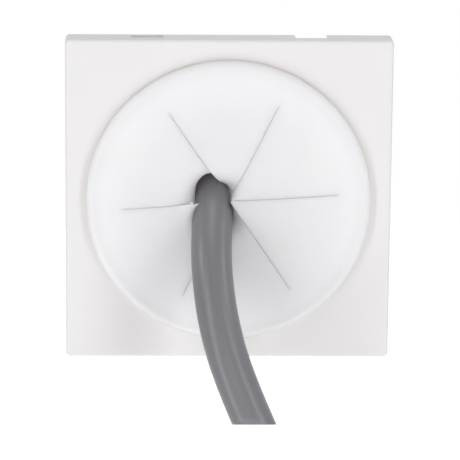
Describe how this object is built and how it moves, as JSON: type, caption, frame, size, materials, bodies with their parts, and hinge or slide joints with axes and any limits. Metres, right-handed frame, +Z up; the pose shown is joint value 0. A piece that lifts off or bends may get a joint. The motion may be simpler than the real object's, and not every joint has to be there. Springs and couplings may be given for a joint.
{
  "type": "grommet wall plate",
  "caption": "Square cover plate with a round soft membrane slit into petals, which a cable passes through and hangs from",
  "frame": {"origin": "the centre of the mounting plane, in which the back rim of the cover plate's skirt lies", "axes": "+Z up, front faces -Y, +Y points into the wall, +X to the right seen from the front"},
  "size_m": [0.045, 0.0305, 0.0517],
  "materials": {
    "plate_plastic": "satin moulded",
    "membrane_rubber": "soft matt moulded",
    "cable_sheath": "extruded satin"
  },
  "bodies": {
    "root": {"cover_plate": "plate_plastic", "membrane": "membrane_rubber", "cable": "cable_sheath"}
  },
  "joints": []
}
